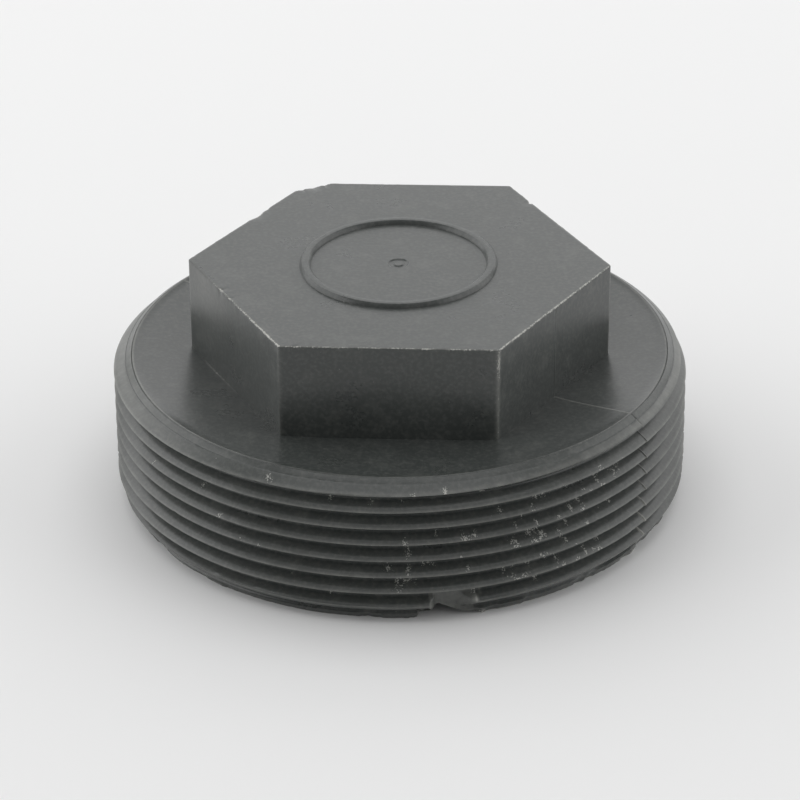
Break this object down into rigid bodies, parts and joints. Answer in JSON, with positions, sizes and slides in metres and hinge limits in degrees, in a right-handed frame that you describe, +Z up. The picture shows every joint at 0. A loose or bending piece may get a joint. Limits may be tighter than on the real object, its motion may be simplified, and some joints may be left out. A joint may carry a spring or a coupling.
{
  "type": "dust cap",
  "caption": "Hollow moulded plastic screw cap with a hexagonal head on a dished flange and a fine right-hand thread around its skirt.",
  "frame": {"origin": "on the thread's axis, in the plane of the open end that the cap stands on", "axes": "+Z up along the thread's axis through the hexagon head; two corners of the hexagon lie on the X axis"},
  "size_m": [0.0644, 0.0644, 0.0274],
  "materials": {
    "grey_plastic": "semi-gloss moulded rigid vinyl, lightly worn and dusty on its edges"
  },
  "bodies": {
    "root": {"dust_cap": "grey_plastic"}
  },
  "joints": []
}
